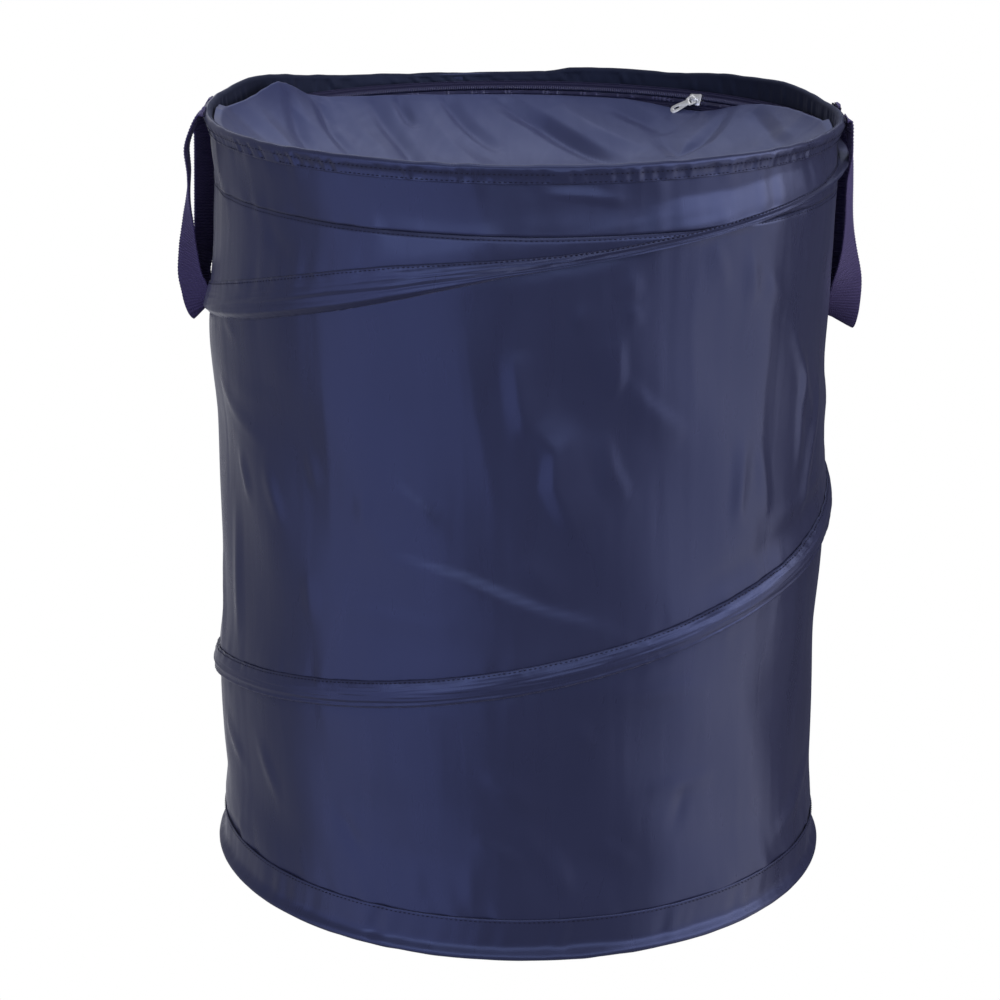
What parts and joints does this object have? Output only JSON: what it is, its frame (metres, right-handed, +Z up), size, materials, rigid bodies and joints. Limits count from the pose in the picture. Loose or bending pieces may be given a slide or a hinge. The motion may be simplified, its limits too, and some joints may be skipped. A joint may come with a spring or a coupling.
{
  "type": "pop up laundry hamper",
  "caption": "Collapsible cloth cylinder on a sprung wire spiral, with a zipped cloth lid and two webbing carrying loops.",
  "frame": {"origin": "centre of the base, on the floor under the hamper", "axes": "+Z up, -Y towards the pictured front, +X to the right of the front, through the right-hand loop"},
  "size_m": [0.497, 0.457, 0.558],
  "materials": {
    "wall_cloth": "taffeta with a soft sheen",
    "casing_cloth": "taffeta, doubled and gathered",
    "lid_cloth": "taffeta with a soft sheen",
    "spring_wire": "drawn spring wire",
    "zip_tape": "woven tape",
    "zip_coil": "nylon monofilament",
    "zip_metal": "die cast, bright",
    "webbing": "ribbed webbing",
    "thread": "thick sewing thread"
  },
  "bodies": {
    "base": {"base_panel": "wall_cloth", "base_casing": "casing_cloth", "base_ring_wire": "spring_wire", "base_ring_ferrule": "spring_wire", "side_wall": "wall_cloth", "yoke_band": "wall_cloth", "spiral_wire": "spring_wire", "spiral_casing": "casing_cloth", "side_seam_binding": "zip_tape"},
    "rim": {"rim_casing": "casing_cloth", "top_ring_wire": "spring_wire", "top_ring_ferrule": "spring_wire", "zip_tape_rim": "zip_tape", "zip_coil_rim": "zip_coil", "zip_stop_right": "zip_metal", "zip_stop_left": "zip_metal", "lid_front": "lid_cloth", "handle_tack_right_a": "thread", "handle_tack_right_b": "thread", "handle_tack_left_a": "thread", "handle_tack_left_b": "thread"},
    "lid_flap": {"lid_flap": "lid_cloth", "zip_tape_lid": "zip_tape", "zip_coil_lid": "zip_coil"},
    "zip_slider": {"zip_slider": "zip_metal"},
    "zip_pull": {"zip_pull": "zip_metal"},
    "handle_right": {"handle_right": "webbing"},
    "handle_left": {"handle_left": "webbing"}
  },
  "joints": [
    {"name": "collapse", "type": "slide", "parent": "base", "child": "rim", "axis": [0, 0, -1], "range_m": [0, 0.488], "stiffness_N_per_m": 40, "springref_m": -0.2, "deforming": ["side_wall", "yoke_band", "spiral_wire", "spiral_casing", "side_seam_binding"]},
    {"name": "lid_open", "type": "hinge", "parent": "rim", "child": "lid_flap", "pos_m": [0, 0, 0.535], "axis": [1, 0, 0], "range_deg": [0, 165]},
    {"name": "zip_travel", "type": "hinge", "parent": "rim", "child": "zip_slider", "pos_m": [0, 0, 0.5385], "axis": [0, 0, 1], "range_deg": [-43.4, 121.4]},
    {"name": "pull_lift", "type": "hinge", "parent": "zip_slider", "child": "zip_pull", "pos_m": [0.13186, 0.16878, 0.54028], "axis": [-0.3299, 0.6219, 0.7103], "range_deg": [0, 150]},
    {"name": "handle_right_swing", "type": "hinge", "parent": "rim", "child": "handle_right", "pos_m": [0.2305, 0, 0.5564], "axis": [0, -1, 0], "range_deg": [0, 165]},
    {"name": "handle_left_swing", "type": "hinge", "parent": "rim", "child": "handle_left", "pos_m": [-0.2305, 0, 0.5564], "axis": [0, 1, 0], "range_deg": [0, 165]}
  ]
}
